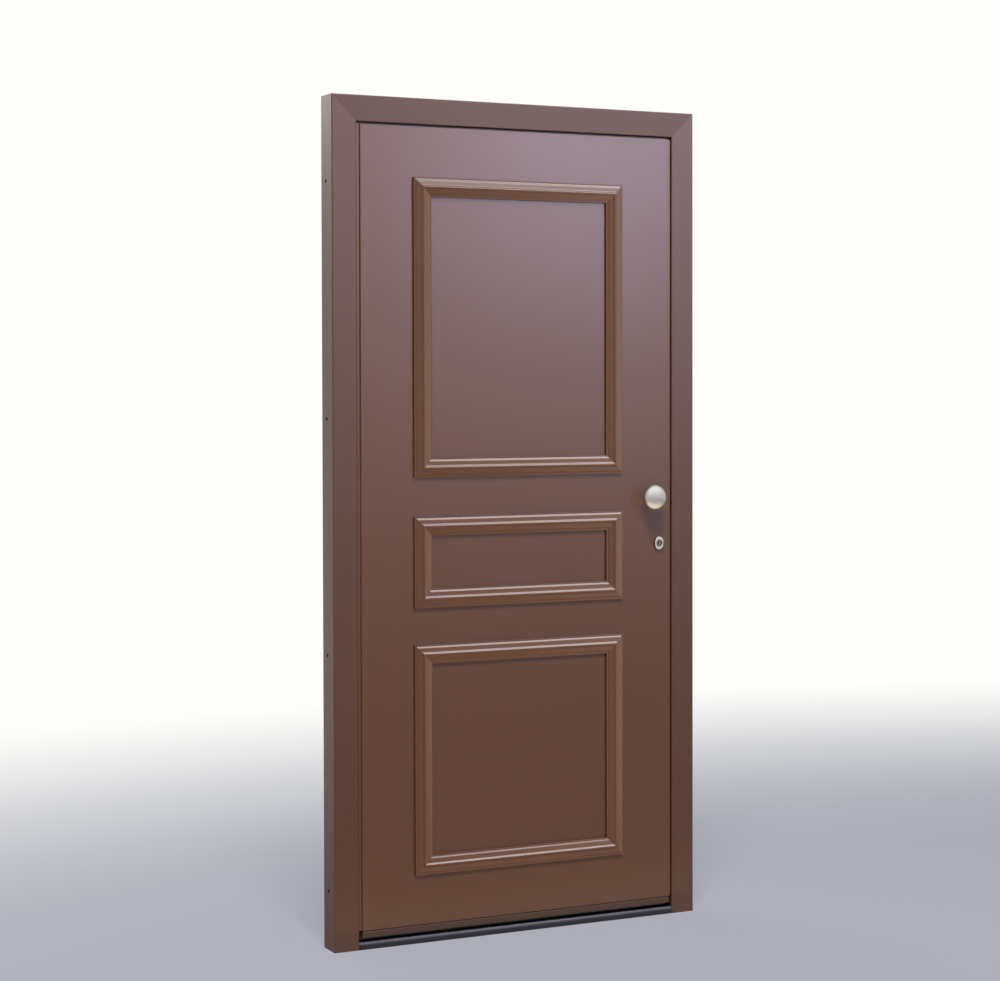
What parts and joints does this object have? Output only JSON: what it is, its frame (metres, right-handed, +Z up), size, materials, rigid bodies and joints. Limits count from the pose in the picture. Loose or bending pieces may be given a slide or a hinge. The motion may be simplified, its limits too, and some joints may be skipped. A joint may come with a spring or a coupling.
{
  "type": "front door",
  "caption": "Painted entrance door leaf with raised moulded panels, pull knob and key cylinder, hung to open inwards in a mitred steel frame with a low threshold.",
  "frame": {"origin": "on the floor, midway across the doorway and midway through the frame's depth", "axes": "+X to the right seen from outside, +Y from outside to inside, +Z up"},
  "size_m": [1.052, 0.1845, 2.167],
  "materials": {
    "brown_steel": "satin powder coat",
    "brown_board": "satin paint on board",
    "brown_alloy": "satin powder coat",
    "threshold_alloy": "dark anodised",
    "seal_rubber": "matt black",
    "core_board": "honeycomb filling",
    "satin_stainless": "satin",
    "nickel_brass": "nickel plated",
    "washer_brass": "plain",
    "lock_stainless": "brushed",
    "zinc_steel": "zinc plated"
  },
  "bodies": {
    "frame": {"left_jamb": "brown_steel", "right_jamb": "brown_steel", "head": "brown_steel", "threshold": "threshold_alloy", "left_gasket": "seal_rubber", "right_gasket": "seal_rubber", "head_gasket": "seal_rubber", "corner_cleats": "zinc_steel", "strike_plate": "lock_stainless", "strike_screws": "lock_stainless", "lower_hinge_frame_half": "zinc_steel", "middle_hinge_frame_half": "zinc_steel", "upper_hinge_frame_half": "zinc_steel", "lower_hinge_pin": "zinc_steel", "middle_hinge_pin": "zinc_steel", "upper_hinge_pin": "zinc_steel", "hinge_washers": "washer_brass", "hinge_frame_screws": "lock_stainless"},
    "leaf": {"leaf_shell": "brown_steel", "leaf_core": "core_board", "inner_panel": "brown_board", "outer_panel": "brown_board", "drip_rail": "brown_alloy", "bottom_seal": "seal_rubber", "upper_moulding_top": "brown_board", "upper_moulding_right": "brown_board", "upper_moulding_bottom": "brown_board", "upper_moulding_left": "brown_board", "middle_moulding_top": "brown_board", "middle_moulding_right": "brown_board", "middle_moulding_bottom": "brown_board", "middle_moulding_left": "brown_board", "lower_moulding_top": "brown_board", "lower_moulding_right": "brown_board", "lower_moulding_bottom": "brown_board", "lower_moulding_left": "brown_board", "knob": "satin_stainless", "knob_bolt": "zinc_steel", "cylinder_guard": "satin_stainless", "cylinder_body": "nickel_brass", "cylinder_rose": "satin_stainless", "lock_case": "zinc_steel", "lock_cover": "zinc_steel", "lock_faceplate": "lock_stainless", "faceplate_screws": "lock_stainless", "lever_rose": "satin_stainless", "lower_hinge_leaf_half": "zinc_steel", "middle_hinge_leaf_half": "zinc_steel", "upper_hinge_leaf_half": "zinc_steel", "hinge_leaf_screws": "lock_stainless"},
    "lever": {"lever_handle": "satin_stainless", "lever_spindle": "zinc_steel", "latch_follower": "zinc_steel"},
    "latch": {"latch_bolt": "lock_stainless"},
    "bolts": {"deadbolts": "lock_stainless", "bolt_carriage": "zinc_steel"},
    "turn": {"thumb_turn": "satin_stainless", "drive_pinion": "zinc_steel"},
    "plug": {"cylinder_plug": "nickel_brass"}
  },
  "joints": [
    {"name": "leaf_swing", "type": "hinge", "parent": "frame", "child": "leaf", "pos_m": [-0.474, 0.045, 0], "axis": [0, 0, 1], "range_deg": [0, 105]},
    {"name": "lever_press", "type": "hinge", "parent": "leaf", "child": "lever", "pos_m": [0.417, 0.003, 1.093], "axis": [0, -1, 0], "range_deg": [0, 40], "stiffness_Nm_per_rad": 1.5, "springref_deg": -28.65},
    {"name": "latch_slide", "type": "slide", "parent": "leaf", "child": "latch", "axis": [-1, 0, 0], "range_m": [0, 0.012]},
    {"name": "lock_turn", "type": "hinge", "parent": "leaf", "child": "turn", "pos_m": [0.417, 0.003, 1.008], "axis": [0, 1, 0], "range_deg": [0, 143.24]},
    {"name": "bolt_throw", "type": "slide", "parent": "leaf", "child": "bolts", "axis": [1, 0, 0], "range_m": [0, 0.02]},
    {"name": "plug_turn", "type": "hinge", "parent": "leaf", "child": "plug", "pos_m": [0.417, 0.003, 1.008], "axis": [0, 1, 0], "range_deg": [0, 143.24]}
  ],
  "couplings": [
    {"joint": "latch_slide", "follows": "lever_press", "m_per_rad": 0.017189},
    {"joint": "lock_turn", "follows": "bolt_throw", "rad_per_m": 125},
    {"joint": "plug_turn", "follows": "bolt_throw", "rad_per_m": 125}
  ]
}
